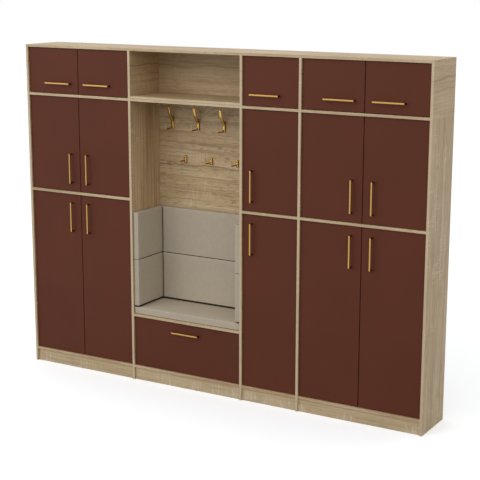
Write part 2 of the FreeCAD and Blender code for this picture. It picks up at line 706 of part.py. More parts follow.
drawer_y = f"({leaf_front} + dims.leaf)"
drawer_z = f"({floor_level} + dims.drawer_rise)"
drawer_left = f"({niche_x} + dims.runner_space)"
drawer_width = f"({niche_width} - 2 * dims.runner_space)"
between = f"({drawer_width} - 2 * dims.board)"
drawer_back_y = f"({drawer_y} + {runner_length} - dims.board)"
drawer_boards = []
for x in (drawer_left, f"({drawer_left} + {drawer_width} - dims.board)"):
    drawer_boards.append(box("dims.board", runner_length, "dims.drawer_height", x, drawer_y, drawer_z))
for y in (drawer_y, drawer_back_y):
    x = f"({drawer_left} + dims.board)"
    drawer_boards.append(box(between, "dims.board", "dims.drawer_height", x, y, drawer_z))
keep(group(drawer_boards), "drawer_box_boards")
keep(box(drawer_width, runner_length, "dims.hardboard", drawer_left, drawer_y,
         f"({drawer_z} - dims.hardboard)"), "drawer_bottom")


def channel(name, web, lip, half_height):
    """Runner profile: web at one X, lips to another, drawn out along -Y."""
    body = new_body(name)
    profile = new_sketch(body, "profile", "XZ_Plane")
    inside = "dims.runner_steel"
    toward = "+" if value(lip) > value(web) else "-"
    web_inside = f"{web} {toward} {inside}"
    polygon(profile, [
        (web, f"-{half_height}"), (lip, f"-{half_height}"), (lip, f"-{half_height} + {inside}"),
        (web_inside, f"-{half_height} + {inside}"), (web_inside, f"{half_height} - {inside}"),
        (lip, f"{half_height} - {inside}"), (lip, half_height), (web, half_height),
    ])
    pad(body, profile, runner_length)
    return body


nesting = "(dims.runner_steel + dims.runner_play)"
half_runner = "(dims.runner_height / 2)"
half_inner = f"({half_runner} - {nesting})"
fixed_runner = channel("fixed_runner_master", "0", f"(dims.runner_space - {nesting})", half_runner)
moving_runner = channel("moving_runner_master", "dims.runner_space", nesting, half_inner)
half_turn = Rotation(Vector(0, 0, 1), 180)
runner_z = f"({floor_level} + dims.runner_rise)"
runner_back = f"({drawer_y} + {runner_length})"


def runner_pair(master, offset):
    """The same profile on both sides of the drawer, a little behind its front."""
    left_one = copy(master, niche_x, f"({runner_back} + {offset})", runner_z)
    right_one = copy(master, right_face("bay2"), f"({drawer_y} + {offset})", runner_z, half_turn)
    return group([left_one, right_one])


keep(runner_pair(fixed_runner, "dims.runner_play"), "fixed_runners")
keep(runner_pair(moving_runner, "0"), "moving_runners")

# Build, check and write
doc.recompute()
for thing in doc.Objects:
    if "Invalid" in thing.State or "Error" in thing.State:
        raise RuntimeError(f"{thing.Name} failed: {thing.State}")
for thing in nodes:
    if thing.Shape.isNull() or not thing.Shape.isValid():
        raise RuntimeError(f"{thing.Label} has no valid shape")

os.makedirs("parts", exist_ok=True)
for thing in nodes:
    thing.Shape.exportStep(f"parts/{thing.Label}.step")
print(len(nodes), "sub-parts,", sum(len(thing.Shape.Solids) for thing in nodes), "solids")
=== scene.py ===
import math

import bmesh
import bpy
from mathutils import Euler, Matrix, Vector


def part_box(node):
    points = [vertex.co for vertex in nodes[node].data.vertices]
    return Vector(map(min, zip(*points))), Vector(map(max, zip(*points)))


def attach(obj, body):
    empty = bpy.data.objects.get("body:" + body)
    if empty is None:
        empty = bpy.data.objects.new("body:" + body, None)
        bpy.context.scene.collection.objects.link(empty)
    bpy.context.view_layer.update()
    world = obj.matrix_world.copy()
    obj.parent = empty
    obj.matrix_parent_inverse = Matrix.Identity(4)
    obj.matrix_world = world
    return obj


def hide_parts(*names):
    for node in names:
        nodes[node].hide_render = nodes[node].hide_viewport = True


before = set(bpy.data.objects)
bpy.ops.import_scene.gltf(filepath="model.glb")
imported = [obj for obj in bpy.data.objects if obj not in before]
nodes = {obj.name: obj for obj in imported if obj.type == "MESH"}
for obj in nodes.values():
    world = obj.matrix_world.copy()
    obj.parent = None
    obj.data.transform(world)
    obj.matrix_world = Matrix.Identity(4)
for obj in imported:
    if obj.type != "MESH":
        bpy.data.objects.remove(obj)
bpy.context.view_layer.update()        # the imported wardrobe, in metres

bpy.context.scene.view_settings.view_transform = "Standard"
print("wardrobe loaded:", len(nodes), "nodes")


# camera, fitted to the corners of the boards in the photograph
photoView = {"place": (4.0044, -6.6412, 2.6856), "tilt": 77.696, "pan": 30.356, "roll": 0.094,
             "lens": 92.824, "sensor": 36}       # degrees, millimetres

bpy.ops.object.select_all(action="DESELECT")
bpy.ops.object.camera_add(location=photoView["place"])
camera = bpy.context.object
camera.name = "photoCamera"
camera.data.sensor_width = photoView["sensor"]
camera.data.lens = photoView["lens"]
tilt, pan, roll = (math.radians(photoView[key]) for key in ("tilt", "pan", "roll"))
lookTurn = Euler((tilt, 0, pan)).to_matrix().to_4x4()
rollTurn = Matrix.Rotation(roll, 4, "Z")
camera.matrix_world = Matrix.Translation(photoView["place"]) @ lookTurn @ rollTurn
bpy.context.scene.camera = camera
print("camera set")


# small tools for nodes
def linearColour(code):
    parts = [int(code[i:i + 2], 16) / 255 for i in (1, 3, 5)]
    return [p / 12.92 if p <= 0.04045 else ((p + 0.055) / 1.055) ** 2.4 for p in parts] + [1]


def newFinish(name):
    finish = bpy.data.materials.new(name)
    finish.use_nodes = True
    finish.node_tree.nodes.clear()
    return finish, finish.node_tree


def addNode(tree, kind, settings=None, links=None):
    node = tree.nodes.new("ShaderNode" + kind)
    for key, value in (settings or {}).items():
        if key == "stops":
            band = node.color_ramp
            band.elements[0].position = value[0][0]
            band.elements[0].color = linearColour(value[0][1])
            band.elements[1].position = value[-1][0]
            band.elements[1].color = linearColour(value[-1][1])
            for place, colour in value[1:-1]:
                band.elements.new(place).color = linearColour(colour)
        elif isinstance(key, int) or key in node.inputs:
            node.inputs[key].default_value = value
        else:
            setattr(node, key, value)
    for key, source in (links or {}).items():
        if isinstance(source, bpy.types.Node):       # a node stands for its first output
            source = source.outputs[0]
        tree.links.new(source, node.inputs[key])
    return node


# sonoma oak laminate on chipboard: a printed paper under melamine, so the grain has colour but hardly any
# depth; slow drifts of tone, long fine streaks, short dark pores, pale saw marks, dark growth lines, satin
oakLook = {
    "colour": "#bca17a", "paler": "#c7af8b", "deeper": "#af956d", "dark": "#856b4a", "pale": "#d4c3a5",
    # the next colour is painted light, a paler tone that lifts the shade under an overhang
    "paintedLift": "#d7b98c",
    "grains": {       # size across and along the grain in metres, detail; real pores are 1 mm wide
        "drift": (0.10, 0.9, 3), "ring": (0.22, 1.4, 2.5), "streak": (0.009, 0.5, 1),
        "pore": (0.0065, 0.05, 1), "saw": (0.06, 0.008, 1), "patch": (0.16, 0.24, 2),
        "wander": (0.5, 0.12, 3),
    },
    # where a mark starts, where it is full, how strong it is
    "sawMark": (0.5, 0.64, 1.0), "ringLine": (0.07, 0.0, 0.3), "darkStreak": (0.48, 0.25, 0.55),
    "paleStreak": (0.52, 0.75, 0.45), "poreRange": (0.46, 0.28), "porePatch": (0.66, 0.4, 1.0),
    "edgeBand": (-0.8, -0.95), "paintedLiftShare": 0.8, "wildPores": 0.7, "calm": 0.45, "shadeAboveShelf": 0.22,
    "rings": 5.0, "stray": 0.05, "ripple": 0.06, "joint": (0.004, 0.0, 0.8),
    "arch": {"steep": 14.0, "tall": 0.07, "count": 30.0, "line": (0.2, 0.0, 1.0), "depth": 0.6,
             "rise": (-0.05, -0.01, 1.0), "reach": (0.45, 0.25, 1.0)},
    "tierLevel": 1.866, "underShelf": (1.90, 1.86), "overShelf": (1.86, 1.90),     # heights in metres
    "gloss": (0.58, 0.46), "bump": 0.15, "bumpDeep": 0.0003,
}


# lines are dark growth lines: place across the grain, half width, strength; arch is the x and z of a
# pointed figure; seam is the height of a joint; band is how much paler the edges to the room are; sawn is
# where saw marks start, where they are full and how strong; paintedLift is the range of heights where
# painted light lifts the shade under an overhang
def oakLaminate(name, along, across, shift, poreDepth, lines, turned=False, arch=None, waves=0.0, seam=None,
                band=0.2, sawn=(0.52, 0.62, 0.6), paintedLift=None):
    finish, tree = newFinish(name)
    coords = addNode(tree, "TexCoord")
    where = coords.outputs["Object"]
    apart = addNode(tree, "SeparateXYZ", None, {"Vector": where}).outputs
    if turned:        # above the tier the print runs across the uprights
        above = addNode(tree, "Math", {"operation": "GREATER_THAN", 1: oakLook["tierLevel"]}, {0: apart["Z"]})
        swapped = addNode(tree, "CombineXYZ", None, {"X": apart["X"], "Y": apart["Z"], "Z": apart["Y"]})
        where = addNode(tree, "MixRGB", None, {"Fac": above, "Color1": where, "Color2": swapped})
        apart = addNode(tree, "SeparateXYZ", None, {"Vector": where}).outputs
    if waves:         # wild figure: the lines waver
        ripple = addNode(tree, "TexNoise", {"Scale": 1 / oakLook["ripple"], "Detail": 1}, {"Vector": where})
        lift = addNode(tree, "Math", {"operation": "MULTIPLY_ADD", 1: waves, 2: -waves / 2}, {0: ripple})
        upDown = addNode(tree, "CombineXYZ", None, {"Z": lift})
        where = addNode(tree, "VectorMath", {"operation": "ADD"}, {0: where, 1: upDown})

    grain = {}
    for key, (wide, long, detail) in oakLook["grains"].items():
        scale = [1 / long if axis == along else 1 / wide for axis in "XYZ"]
        spread = addNode(tree, "Mapping", {"Scale": scale, "Location": shift}, {"Vector": where})
        grain[key] = addNode(tree, "TexNoise", {"Scale": 1, "Detail": detail, "Roughness": 0.55},
                             {"Vector": spread})

    # marks of the print: the colour that each lays on, and what its strength is the product of,
    # as value, where it starts, where it is full, how much
    turns = addNode(tree, "Math", {"operation": "MULTIPLY", 1: oakLook["rings"]}, {0: grain["ring"]})
    rings = addNode(tree, "Math", {"operation": "PINGPONG", 1: 0.5}, {0: turns})
    marks = [("pale", [(grain["saw"], *oakLook["sawMark"]), (grain["patch"], *sawn)]),
             ("dark", [(rings, *oakLook["ringLine"])]),
             ("dark", [(grain["streak"], *oakLook["darkStreak"])]),
             ("pale", [(grain["streak"], *oakLook["paleStreak"])])]
    if turned:        # a calmer print there
        marks.append(("colour", [(above, 0.0, 1.0, oakLook["calm"])]))
    stray = oakLook["stray"]
    level = addNode(tree, "Math", {"operation": "MULTIPLY_ADD", 1: stray},
                    {0: grain["wander"], 2: apart[across]})
    for place, half, strength in lines:
        off = addNode(tree, "Math", {"operation": "ADD", 1: -place - stray / 2}, {0: level})
        aside = addNode(tree, "Math", {"operation": "ABSOLUTE"}, {0: off})
        marks.append(("dark", [(aside, half, 0.0, strength)]))
    pores = oakLook["poreRange"]
    if arch:
        bowLook = oakLook["arch"]
        off = addNode(tree, "Math", {"operation": "ADD", 1: -arch[0]}, {0: apart["X"]})
        aside = addNode(tree, "Math", {"operation": "ABSOLUTE"}, {0: off})
        steep = addNode(tree, "Math", {"operation": "MULTIPLY", 1: bowLook["steep"]}, {0: aside})
        bow = addNode(tree, "Math", {"operation": "ARCTANGENT"}, {0: steep})
        over = addNode(tree, "Math", {"operation": "ADD", 1: -arch[1] - stray / 2}, {0: level})
        rise = addNode(tree, "Math", {"operation": "MULTIPLY_ADD", 1: -bowLook["tall"]}, {0: bow, 2: over})
        turns = addNode(tree, "Math", {"operation": "MULTIPLY", 1: bowLook["count"]}, {0: rise})
        arcs = addNode(tree, "Math", {"operation": "PINGPONG", 1: 0.5}, {0: turns})
        marks.append(("dark", [(arcs, *bowLook["line"]), (rise, *bowLook["rise"]),
                               (apart["Z"], *oakLook["underShelf"], bowLook["depth"]),
                               (aside, *bowLook["reach"])]))
        # wild pores under the shelf, a calmer print above it, drawn darker there as painted shade
        marks.append(("dark", [(grain["pore"], *pores, oakLook["wildPores"]),
                               (grain["patch"], *oakLook["porePatch"]),
                               (apart["Z"], *oakLook["underShelf"], 1.0)]))
        # painted shade: the hook board above the hat shelf drawn darker
        marks.append(("dark", [(apart["Z"], *oakLook["overShelf"], oakLook["shadeAboveShelf"])]))
    marks.append(("dark", [(grain["pore"], *pores, poreDepth), (grain["patch"], *oakLook["porePatch"])]))
    if seam:          # the dark joint between two boards that lie on each other
        off = addNode(tree, "Math", {"operation": "ADD", 1: -seam}, {0: apart["Z"]})
        aside = addNode(tree, "Math", {"operation": "ABSOLUTE"}, {0: off})
        marks.append(("dark", [(aside, *oakLook["joint"])]))
    if paintedLift:         # painted light: the top of the plinth drawn paler, lifting the shade under the bottom board's edge
        marks.append(("paintedLift", [(apart["Z"], *paintedLift, oakLook["paintedLiftShare"])]))
    if not arch:      # the edge bands to the room are a little paler than the faces
        facing = addNode(tree, "SeparateXYZ", None, {"Vector": coords.outputs["Normal"]}).outputs
        marks.append(("pale", [(facing["Y"], *oakLook["edgeBand"], band)]))

    tone = addNode(tree, "ValToRGB", {"stops": [(0.3, oakLook["deeper"]), (0.5, oakLook["colour"]),
                   (0.7, oakLook["paler"])]}, {"Fac": grain["drift"]})
    for colour, ranges in marks:
        shares = []
        for value, low, high, most in ranges:
            shares.append(addNode(tree, "MapRange", {"interpolation_type": "SMOOTHSTEP", "From Min": low,
                                  "From Max": high, "To Max": most}, {"Value": value}))
        amount = shares[0]
        for share in shares[1:]:
            amount = addNode(tree, "Math", {"operation": "MULTIPLY"}, {0: amount, 1: share})
        tone = addNode(tree, "MixRGB", {"Color2": linearColour(oakLook[colour])},
                       {"Fac": amount, "Color1": tone})
    satin = addNode(tree, "MapRange", {"From Min": 0.3, "From Max": 0.7, "To Min": oakLook["gloss"][0],
                    "To Max": oakLook["gloss"][1]}, {"Value": grain["pore"]})
    press = addNode(tree, "Bump", {"Strength": oakLook["bump"], "Distance": oakLook["bumpDeep"]},
                    {"Height": grain["pore"]})
    shade = addNode(tree, "BsdfPrincipled", {"IOR": 1.5, "Specular IOR Level": 0.5},
                    {"Base Color": tone, "Roughness": satin, "Normal": press})
    addNode(tree, "OutputMaterial", None, {"Surface": shade})
    return finish


oakUpright = oakLaminate("sonomaOakUpright", "Z", "Y", (0.3, 0.9, 0.2), 0.3,
                         [(0.015, 0.006, 0.5), (2.09, 0.009, 0.6), (2.03, 0.006, 0.35)],
                         turned=True, band=0.5)
oakLevel = oakLaminate("sonomaOakLevel", "X", "Z", (0.7, 0.1, 0.5), 0.5, [])
oakBottom = oakLaminate("sonomaOakBottom", "X", "Z", (0.7, 0.1, 0.5), 0.5, [], band=0.0)
# the plinth: stronger saw marks, and painted light at its top that lifts the shade under the bottom board's
# edge
oakPlinth = oakLaminate("sonomaOakPlinth", "X", "Z", (0.7, 0.1, 0.5), 0.5, [], sawn=(0.46, 0.56, 1.0),
                        paintedLift=(0.050, 0.078))
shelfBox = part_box("hat_shelf_boards")
oakShelf = oakLaminate("sonomaOakShelf", "X", "Z", (0.7, 0.1, 0.5), 0.5, [],
                       seam=(shelfBox[0].z + shelfBox[1].z) / 2)
oakBack = oakLaminate("sonomaOakBack", "X", "Z", (0.1, 0.4, 0.8), 0.35,
                      [(2.077, 0.009, 0.6), (1.425, 0.008, 0.9), (1.51, 0.005, 0.3)],
                      arch=(-0.27, 1.74), waves=0.022)


# oxblood matt laminate: plain pressed colour, a fine pearl texture that breaks up the light
doorLook = {"colour": "#5c2d1c", "deeper": "#572a19", "cloud": 0.35, "pearl": 0.0028,   # pearl is really 1 mm
            "gloss": (0.5, 0.6), "bump": 0.12, "bumpDeep": 0.0003}

oxblood, tree = newFinish("oxbloodLaminate")
where = addNode(tree, "TexCoord").outputs["Object"]
cloud = addNode(tree, "TexNoise", {"Scale": 1 / doorLook["cloud"], "Detail": 3}, {"Vector": where})
cloudTone = addNode(tree, "ValToRGB", {"stops": [(0.35, doorLook["deeper"]), (0.65, doorLook["colour"])]},
                    {"Fac": cloud})
pearl = addNode(tree, "TexNoise", {"Scale": 1 / doorLook["pearl"], "Detail": 2}, {"Vector": where})
pearlBump = addNode(tree, "Bump", {"Strength": doorLook["bump"], "Distance": doorLook["bumpDeep"]},
                    {"Height": pearl})
pearlGloss = addNode(tree, "MapRange", {"From Min": 0.3, "From Max": 0.7, "To Min": doorLook["gloss"][0],
                     "To Max": doorLook["gloss"][1]}, {"Value": pearl})
shade = addNode(tree, "BsdfPrincipled", {"IOR": 1.48, "Specular IOR Level": 0.2},
                {"Base Color": cloudTone, "Roughness": pearlGloss, "Normal": pearlBump})
addNode(tree, "OutputMaterial", None, {"Surface": shade})


# satin brass plating on zinc, with painted light by facing: the faces to the room keep the brass colour
# and get a coat as a painted highlight, the flanks get a painted shade of deep amber
brassLook = {"colour": "#b68d3e", "dull": "#ab8235", "flankShade": "#8a4e08", "rim": "#a86414", "haze": 0.004,
             "flankShadeRange": (0.5, 1.0), "gloss": (0.26, 0.38)}
hookBrassLook = {"colour": "#c69c42", "dull": "#bb9138", "flankShade": "#b08420", "rim": "#a86414", "haze": 0.004,
                 "flankShadeRange": (0.3, 0.85), "gloss": (0.26, 0.38)}


def brassPlating(name, look):
    finish, tree = newFinish(name)
    coords = addNode(tree, "TexCoord").outputs
    haze = addNode(tree, "TexNoise", {"Scale": 1 / look["haze"], "Detail": 4}, {"Vector": coords["Object"]})
    hazeTone = addNode(tree, "ValToRGB", {"stops": [(0.35, look["dull"]), (0.6, look["colour"])]},
                       {"Fac": haze})
    facing = addNode(tree, "SeparateXYZ", None, {"Vector": coords["Normal"]}).outputs
    # painted shade and highlight: flanks turned from the room drawn deep amber, faces to the room brass with
    # a coat
    toRoom = addNode(tree, "Math", {"operation": "ABSOLUTE"}, {0: facing["Y"]})
    paintedLightMask = addNode(tree, "MapRange", {"From Min": look["flankShadeRange"][0], "From Max": look["flankShadeRange"][1],
                     "interpolation_type": "SMOOTHSTEP"}, {"Value": toRoom})
    brassTone = addNode(tree, "MixRGB", {"Color1": linearColour(look["flankShade"])},
                        {"Fac": paintedLightMask, "Color2": hazeTone})
    hazeGloss = addNode(tree, "MapRange", {"From Min": 0.3, "From Max": 0.7, "To Min": look["gloss"][0],
                        "To Max": look["gloss"][1]}, {"Value": haze})
    shade = addNode(tree, "BsdfPrincipled", {"Metallic": 1.0, "Coat Roughness": 0.3,
                    "Specular Tint": linearColour(look["rim"])},
                    {"Base Color": brassTone, "Roughness": hazeGloss, "Coat Weight": paintedLightMask})
    addNode(tree, "OutputMaterial", None, {"Surface": shade})
    return finish


brass = brassPlating("satinBrass", brassLook)
hookBrass = brassPlating("hookBrassPaintedFlanks", hookBrassLook)


# blackened steel screws: dark, slightly oily
steelLook = {"film": 0.002, "dark": "#2b2419", "light": "#4a3d2a", "gloss": 0.45}

blackSteel, tree = newFinish("blackenedSteel")
where = addNode(tree, "TexCoord").outputs["Object"]
oily = addNode(tree, "TexNoise", {"Scale": 1 / steelLook["film"], "Detail": 3}, {"Vector": where})
oilyTone = addNode(tree, "ValToRGB", {"stops": [(0.3, steelLook["dark"]), (0.7, steelLook["light"])]},
                   {"Fac": oily})
shade = addNode(tree, "BsdfPrincipled", {"Metallic": 1.0, "Roughness": steelLook["gloss"]},
                {"Base Color": oilyTone})
addNode(tree, "OutputMaterial", None, {"Surface": shade})


# zinc plated steel: cool grey with faint crystal flecks
zincLook = {"fleck": 0.006, "dark": "#a9adb1", "light": "#c6cacd", "gloss": (0.3, 0.44)}

zinc, tree = newFinish("zincSteel")
where = addNode(tree, "TexCoord").outputs["Object"]
flecks = addNode(tree, "TexVoronoi", {"Scale": 1 / zincLook["fleck"]}, {"Vector": where}).outputs["Color"]
fleckTone = addNode(tree, "ValToRGB", {"stops": [(0.0, zincLook["dark"]), (1.0, zincLook["light"])]},
                    {"Fac": flecks})
fleckGloss = addNode(tree, "MapRange", {"To Min": zincLook["gloss"][0], "To Max": zincLook["gloss"][1]},
                     {"Value": flecks})
shade = addNode(tree, "BsdfPrincipled", {"Metallic": 1.0},
                {"Base Color": fleckTone, "Roughness": fleckGloss})
addNode(tree, "OutputMaterial", None, {"Surface": shade})


# hardboard: pressed brown fibres to the wall, a pale oak print to the inside
hardboardLook = {"fibre": 0.004, "brown": "#8b6a48", "dark": "#6f5236", "print": "#b8a17d",
                 "printDeep": "#a48c68", "grain": (0.03, 0.03, 0.8), "gloss": 0.7, "bump": 0.3,
                 "bumpDeep": 0.0004}

hardboard, tree = newFinish("hardboard")
where = addNode(tree, "TexCoord").outputs["Object"]
fibre = addNode(tree, "TexNoise", {"Scale": 1 / hardboardLook["fibre"], "Detail": 5, "Roughness": 0.7},
                {"Vector": where})
rawTone = addNode(tree, "ValToRGB", {"stops": [(0.3, hardboardLook["dark"]), (0.7, hardboardLook["brown"])]},
                  {"Fac": fibre})
printScale = [1 / size for size in hardboardLook["grain"]]
printSpread = addNode(tree, "Mapping", {"Scale": printScale}, {"Vector": where})
printGrain = addNode(tree, "TexNoise", {"Scale": 1, "Detail": 4}, {"Vector": printSpread})
printTone = addNode(tree, "ValToRGB", {"stops": [(0.35, hardboardLook["printDeep"]),
                    (0.65, hardboardLook["print"])]}, {"Fac": printGrain})
outward = addNode(tree, "NewGeometry").outputs["Normal"]
facing = addNode(tree, "SeparateXYZ", None, {"Vector": outward}).outputs
wallSide = addNode(tree, "Math", {"operation": "GREATER_THAN", 1: 0.5}, {0: facing["Y"]})
boardTone = addNode(tree, "MixRGB", None, {"Fac": wallSide, "Color1": printTone, "Color2": rawTone})
fuzz = addNode(tree, "Bump", {"Strength": hardboardLook["bump"], "Distance": hardboardLook["bumpDeep"]},
               {"Height": fibre})
shade = addNode(tree, "BsdfPrincipled", {"Roughness": hardboardLook["gloss"], "Specular IOR Level": 0.3},
                {"Base Color": boardTone, "Normal": fuzz})
addNode(tree, "OutputMaterial", None, {"Surface": shade})


# greige woven upholstery: warm and cool threads side by side, slight slubs, painted shade of dark brown in
# the joints
clothLook = {"thread": 0.0032, "warm": "#bdb29f", "cool": "#b7ab99", "slub": 0.03,     # thread is really 1 mm
             "jointShadeColour": "#331f09", "joint": 0.024, "paintedJointShade": (0.25, 0.72), "threadShare": 0.12, "gloss": 0.9,
             "bump": 0.2, "bumpDeep": 0.0006}

cloth, tree = newFinish("greigeWeave")
where = addNode(tree, "TexCoord").outputs["Object"]
threads = []
threadScale = math.pi / 10 / clothLook["thread"]
for direction in ("X", "Y", "Z"):
    wave = addNode(tree, "TexWave", {"bands_direction": direction, "Distortion": 0.6, "Detail": 1,
                   "Scale": threadScale}, {"Vector": where})
    threads.append(wave.outputs["Fac"])
pair = addNode(tree, "Math", {"operation": "ADD"}, {0: threads[0], 1: threads[1]})
weave = addNode(tree, "Math", {"operation": "ADD"}, {0: pair, 1: threads[2]})
slub = addNode(tree, "TexNoise", {"Scale": 1 / clothLook["slub"], "Detail": 5, "Roughness": 0.65},
               {"Vector": where})
tangle = addNode(tree, "Math", {"operation": "MULTIPLY_ADD", 1: clothLook["threadShare"]},
                 {0: weave, 2: slub})
clothTone = addNode(tree, "ValToRGB", {"stops": [(0.45, clothLook["cool"]), (0.85, clothLook["warm"])]},
                    {"Fac": tangle})
clothBump = addNode(tree, "Bump", {"Strength": clothLook["bump"], "Distance": clothLook["bumpDeep"]},
                    {"Height": weave})
# painted shade: where the cloth is closed in by its neighbours it is drawn dark brown
joint = addNode(tree, "AmbientOcclusion", {"Distance": clothLook["joint"], "samples": 8})
openness = addNode(tree, "MapRange", {"From Min": clothLook["paintedJointShade"][0], "From Max": clothLook["paintedJointShade"][1]},
                   {"Value": joint.outputs["AO"]})
paintedJointShade = addNode(tree, "MixRGB", {"Color1": linearColour(clothLook["jointShadeColour"])},
                 {"Fac": openness, "Color2": clothTone})
shade = addNode(tree, "BsdfPrincipled", {"Roughness": clothLook["gloss"], "Specular IOR Level": 0.1},
                {"Base Color": paintedJointShade, "Normal": clothBump})
addNode(tree, "OutputMaterial", None, {"Surface": shade})
print("finishes made")


# finishes of the boards, doors and hidden steel that stay as they are
boardFinishes = {
    "side_panel_left": oakUpright, "side_panel_right": oakUpright, "partition_left": oakUpright,
    "partition_middle": oakUpright, "partition_right": oakUpright, "top_board": oakLevel,
    "bottom_boards": oakBottom, "plinth_boards": oakPlinth, "tier_shelves": oakLevel,
    "hat_shelf_boards": oakShelf, "bench_board": oakLevel, "inner_shelves": oakLevel, "hook_board": oakBack,
    "drawer_box_boards": oakLevel, "back_panels": hardboard, "drawer_bottom": hardboard,
    "drawer_front": oxblood, "pivot_pins": zinc, "wall_brackets": zinc, "fixed_runners": zinc,
    "moving_runners": zinc,
}
for name, node in nodes.items():
    finish = oxblood if name.startswith("door_") else boardFinishes.get(name)
    if finish:
        for socket in node.material_slots:
            socket.material = finish
print("boards and doors finished")


# small tools for modelling
smoothAngle = math.radians(35)
nearly = 1e-4


def pickPiece(piece):
    bpy.ops.object.select_all(action="DESELECT")
    piece.select_set(True)
    bpy.context.view_layer.objects.active = piece


def openShape(piece):
    pickPiece(piece)
    bpy.ops.object.mode_set(mode="EDIT")


def closeShape():
    bpy.ops.object.mode_set(mode="OBJECT")


def pickOnly(piece, kind, wanted):       # kind is FACE or EDGE
    bpy.ops.mesh.select_mode(type=kind)
    bpy.ops.mesh.select_all(action="DESELECT")
    shape = bmesh.from_edit_mesh(piece.data)
    for bit in shape.faces if kind == "FACE" else shape.edges:
        if wanted(bit):
            bit.select_set(True)
    bmesh.update_edit_mesh(piece.data)


# after a spin: doubles merged, inner faces out, faces turned outwards
def cleanSpin():
    bpy.ops.mesh.select_all(action="SELECT")
    bpy.ops.mesh.remove_doubles(threshold=1e-6)
    bpy.ops.mesh.select_all(action="DESELECT")
    bpy.ops.mesh.select_interior_faces()
    bpy.ops.mesh.delete(type="FACE")
    bpy.ops.mesh.select_all(action="SELECT")
    bpy.ops.mesh.normals_make_consistent(inside=False)


def addBlock(size, place):
    bpy.ops.object.select_all(action="DESELECT")
    bpy.ops.mesh.primitive_cube_add(size=1, location=place)
    block = bpy.context.object
    block.scale = size
    bpy.ops.object.transform_apply(location=True, rotation=True, scale=True)
    return block


def softenEdges(piece, width, segments, angle):
    rim = piece.modifiers.new("rim", "BEVEL")
    rim.width = width
    rim.segments = segments
    rim.limit_method = "ANGLE"
    rim.angle_limit = math.radians(angle)
    pickPiece(piece)
    bpy.ops.object.modifier_apply(modifier=rim.name)
    bpy.ops.object.shade_smooth_by_angle(angle=smoothAngle)


def copyPiece(master, name, turn, place):
    piece = master.copy()
    piece.data = master.data.copy()
    piece.name = name
    piece.data.name = name
    piece.data.transform(Matrix.Translation(place) @ turn)
    bpy.context.scene.collection.objects.link(piece)
    return piece


def joinPieces(keeper, others):
    pickPiece(keeper)
    for other in others:
        other.select_set(True)
    bpy.ops.object.join()


noTurn = Matrix.Identity(4)


# screws: a domed head with a cross slot, its head to -Y
screwLook = {"radius": 0.0038, "rise": 0.0018, "slotWide": 0.0010, "slotLong": 0.0044, "slotDeep": 0.0012,
             "dome": 0.0011}


def makeScrew():
    bpy.ops.object.select_all(action="DESELECT")
    bpy.ops.mesh.primitive_cylinder_add(vertices=20, radius=screwLook["radius"], depth=screwLook["rise"],
                                        location=(0, -screwLook["rise"] / 2, 0), rotation=(math.pi / 2, 0, 0))
    head = bpy.context.object
    bpy.ops.object.transform_apply(location=True, rotation=True, scale=True)
    openShape(head)
    pickOnly(head, "FACE", lambda face: face.normal.y < -0.9)
    bpy.ops.mesh.bevel(offset=screwLook["dome"], segments=3, affect="EDGES")
    closeShape()
    slot = (screwLook["slotWide"], screwLook["slotLong"])
    for wide, tall in (slot, slot[::-1]):
        cutter = addBlock((wide, screwLook["slotDeep"] * 2, tall), (0, -screwLook["rise"], 0))
        cut = head.modifiers.new("slot", "BOOLEAN")
        cut.operation = "DIFFERENCE"
        cut.solver = "EXACT"
        cut.object = cutter
        pickPiece(head)
        bpy.ops.object.modifier_apply(modifier=cut.name)
        bpy.data.objects.remove(cutter)
    bpy.ops.object.shade_smooth_by_angle(angle=smoothAngle)
    return head


screwMaster = makeScrew()


# bar handles: square bar with a foot at each end and well rubbed edges
handleLook = {"length": 0.200, "width": 0.010, "bar": 0.008, "reach": 0.030, "edge": 0.0018,
              "corner": 0.0022}


def makeHandle():
    length, bar, reach = handleLook["length"], handleLook["bar"], handleLook["reach"]
    inner = length / 2 - bar         # where the feet start
    handle = addBlock((length, bar, handleLook["width"]), (0, bar / 2 - reach, 0))
    openShape(handle)
    for end in (-1, 1):
        bpy.ops.mesh.select_all(action="SELECT")
        bpy.ops.mesh.bisect(plane_co=(end * inner, 0, 0), plane_no=(1, 0, 0))
    pickOnly(handle, "FACE", lambda face: face.normal.y > 0.9 and abs(face.calc_center_median().x) > inner)
    bpy.ops.mesh.extrude_region_move(TRANSFORM_OT_translate={"value": (0, reach - bar, 0)})
    pickOnly(handle, "EDGE", lambda edge: all(abs(v.co.x) > length / 2 - nearly and v.co.y < nearly - reach
                                              for v in edge.verts))
    bpy.ops.mesh.bevel(offset=handleLook["corner"], segments=2, affect="EDGES")
    closeShape()
    softenEdges(handle, handleLook["edge"], 3, 30)
    openShape(handle)
    bpy.ops.mesh.select_all(action="SELECT")
    bpy.ops.mesh.remove_doubles(threshold=1e-5)      # slivers where the bevels meet
    closeShape()
    return handle


